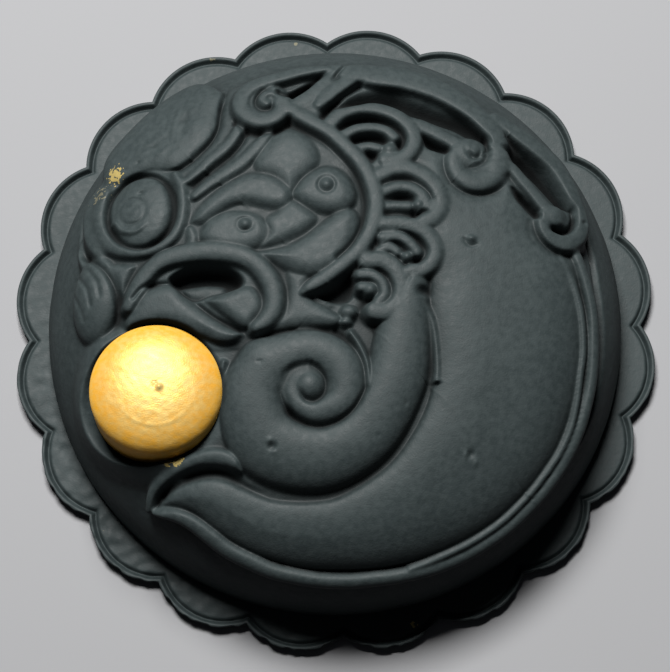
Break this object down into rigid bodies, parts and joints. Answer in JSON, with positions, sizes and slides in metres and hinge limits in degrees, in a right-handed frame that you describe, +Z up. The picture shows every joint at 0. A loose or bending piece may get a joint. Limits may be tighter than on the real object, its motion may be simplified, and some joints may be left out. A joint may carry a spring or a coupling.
{
  "type": "mooncake",
  "caption": "Round moulded mooncake: a domed matt black crust on a flat scalloped foot, with a dragon in deep relief curled round a raised pearl dusted with gold.",
  "frame": {"origin": "centre of the flat underside", "axes": "+Z up out of the dome; +Y towards the dragon's brow and crest; +X from the pearl towards the broad back"},
  "size_m": [0.0796, 0.0796, 0.0233],
  "materials": {
    "black_crust": "matt charcoal-black moulded dough, fine grained, with a soft sheen on its crests",
    "gold_dust": "edible gold dust brushed on, satin and slightly grainy"
  },
  "bodies": {
    "root": {"crust": "black_crust", "pearl": "gold_dust"}
  },
  "joints": []
}
